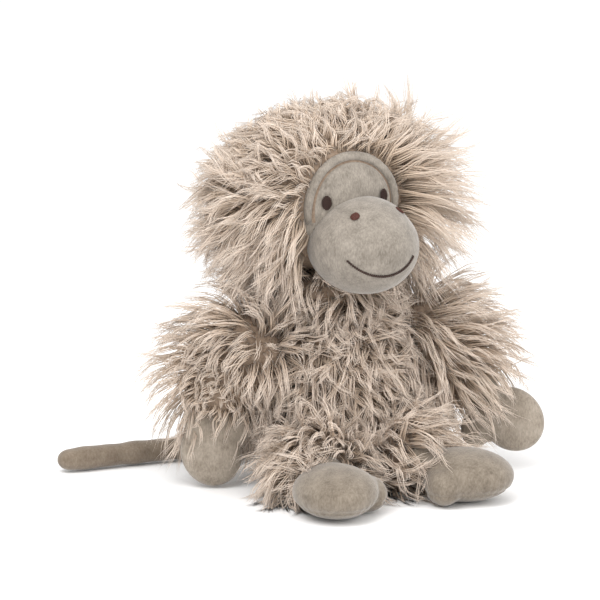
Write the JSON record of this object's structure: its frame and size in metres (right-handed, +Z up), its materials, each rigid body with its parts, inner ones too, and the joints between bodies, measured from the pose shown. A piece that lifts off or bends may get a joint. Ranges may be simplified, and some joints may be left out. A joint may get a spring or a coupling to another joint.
{
  "type": "stuffed monkey",
  "caption": "Long-haired sitting plush monkey with a smooth velour face, muzzle, hands, feet and tail; head, arms, hands, legs, feet and tail flop at their seams.",
  "frame": {"origin": "on the floor, under the middle of the seat", "axes": "+Z up, the monkey faces -Y, its own right side is -X"},
  "size_m": [0.2684, 0.2391, 0.247],
  "materials": {
    "long_fur": "long shaggy pile",
    "velour": "short-pile velour",
    "fibre_fill": "polyester fibre filling",
    "brown_thread": "satin-stitch embroidery thread",
    "bag_cloth": "plain woven cotton",
    "beads": "loose plastic beads"
  },
  "bodies": {
    "torso": {"torso_fur_cover": "long_fur", "torso_stuffing": "fibre_fill", "pellet_bag": "bag_cloth", "bean_pellets": "beads"},
    "neck": {"neck_stuffing": "fibre_fill"},
    "head": {"head_fur_cover": "long_fur", "head_stuffing": "fibre_fill", "face_panel": "velour", "brow_band": "velour", "muzzle_cover": "velour", "muzzle_stuffing": "fibre_fill", "eye_right": "brown_thread", "eye_left": "brown_thread", "nostril_right": "brown_thread", "nostril_left": "brown_thread", "mouth_embroidery": "brown_thread"},
    "tail": {"tail_cover": "velour", "tail_stuffing": "fibre_fill"},
    "arm_right": {"arm_right_fur_sleeve": "long_fur", "arm_right_stuffing": "fibre_fill"},
    "hand_right": {"hand_right_back": "velour", "hand_right_palm": "velour", "hand_right_stuffing": "fibre_fill"},
    "leg_right": {"leg_right_fur_sleeve": "long_fur", "leg_right_stuffing": "fibre_fill"},
    "foot_right": {"foot_right_upper": "velour", "foot_right_sole": "velour", "foot_right_stuffing": "fibre_fill"},
    "arm_left": {"arm_left_fur_sleeve": "long_fur", "arm_left_stuffing": "fibre_fill"},
    "hand_left": {"hand_left_back": "velour", "hand_left_palm": "velour", "hand_left_stuffing": "fibre_fill"},
    "leg_left": {"leg_left_fur_sleeve": "long_fur", "leg_left_stuffing": "fibre_fill"},
    "foot_left": {"foot_left_upper": "velour", "foot_left_sole": "velour", "foot_left_stuffing": "fibre_fill"}
  },
  "joints": [
    {"name": "neck_turn", "type": "hinge", "parent": "torso", "child": "neck", "pos_m": [-0.003, -0.001, 0.127], "axis": [0, 0, 1], "range_deg": [-30, 30], "stiffness_Nm_per_rad": 0.5},
    {"name": "head_nod", "type": "hinge", "parent": "neck", "child": "head", "pos_m": [-0.003, -0.001, 0.127], "axis": [1, 0, 0], "range_deg": [-14, 14], "stiffness_Nm_per_rad": 0.9},
    {"name": "arm_right_swing", "type": "hinge", "parent": "torso", "child": "arm_right", "pos_m": [-0.046, 0.002, 0.099], "axis": [0.9397, -0.3419, 0], "range_deg": [-90, 15], "stiffness_Nm_per_rad": 0.06},
    {"name": "arm_left_swing", "type": "hinge", "parent": "torso", "child": "arm_left", "pos_m": [0.054, -0.006, 0.099], "axis": [0.9397, 0.3419, 0], "range_deg": [-90, 10], "stiffness_Nm_per_rad": 0.06},
    {"name": "hand_right_flap", "type": "hinge", "parent": "arm_right", "child": "hand_right", "pos_m": [-0.0862, 0.0193, 0.0518], "axis": [0.8001, -0.5195, 0.3], "range_deg": [-25, 25], "stiffness_Nm_per_rad": 0.02},
    {"name": "hand_left_flap", "type": "hinge", "parent": "arm_left", "child": "hand_left", "pos_m": [0.0935, -0.0332, 0.0533], "axis": [0.6602, -0.2314, 0.7146], "range_deg": [-25, 25], "stiffness_Nm_per_rad": 0.02},
    {"name": "leg_right_lift", "type": "hinge", "parent": "torso", "child": "leg_right", "pos_m": [-0.028, -0.026, 0.026], "axis": [-0.9095, 0.4158, 0], "range_deg": [-12, 30], "stiffness_Nm_per_rad": 0.08},
    {"name": "foot_right_tilt", "type": "hinge", "parent": "leg_right", "child": "foot_right", "pos_m": [-0.044, -0.061, 0.017], "axis": [-0.9474, 0.3201, 0], "range_deg": [-12, 12], "stiffness_Nm_per_rad": 0.04},
    {"name": "leg_left_lift", "type": "hinge", "parent": "torso", "child": "leg_left", "pos_m": [0.024, -0.034, 0.026], "axis": [-0.9915, 0.1305, 0], "range_deg": [-12, 30], "stiffness_Nm_per_rad": 0.08},
    {"name": "foot_left_tilt", "type": "hinge", "parent": "leg_left", "child": "foot_left", "pos_m": [0.019, -0.072, 0.017], "axis": [-0.8176, -0.5757, 0], "range_deg": [-12, 12], "stiffness_Nm_per_rad": 0.04},
    {"name": "tail_swing", "type": "hinge", "parent": "torso", "child": "tail", "pos_m": [0, 0.043, 0.012], "axis": [0, 0, 1], "range_deg": [-80, 10], "stiffness_Nm_per_rad": 0.01}
  ]
}
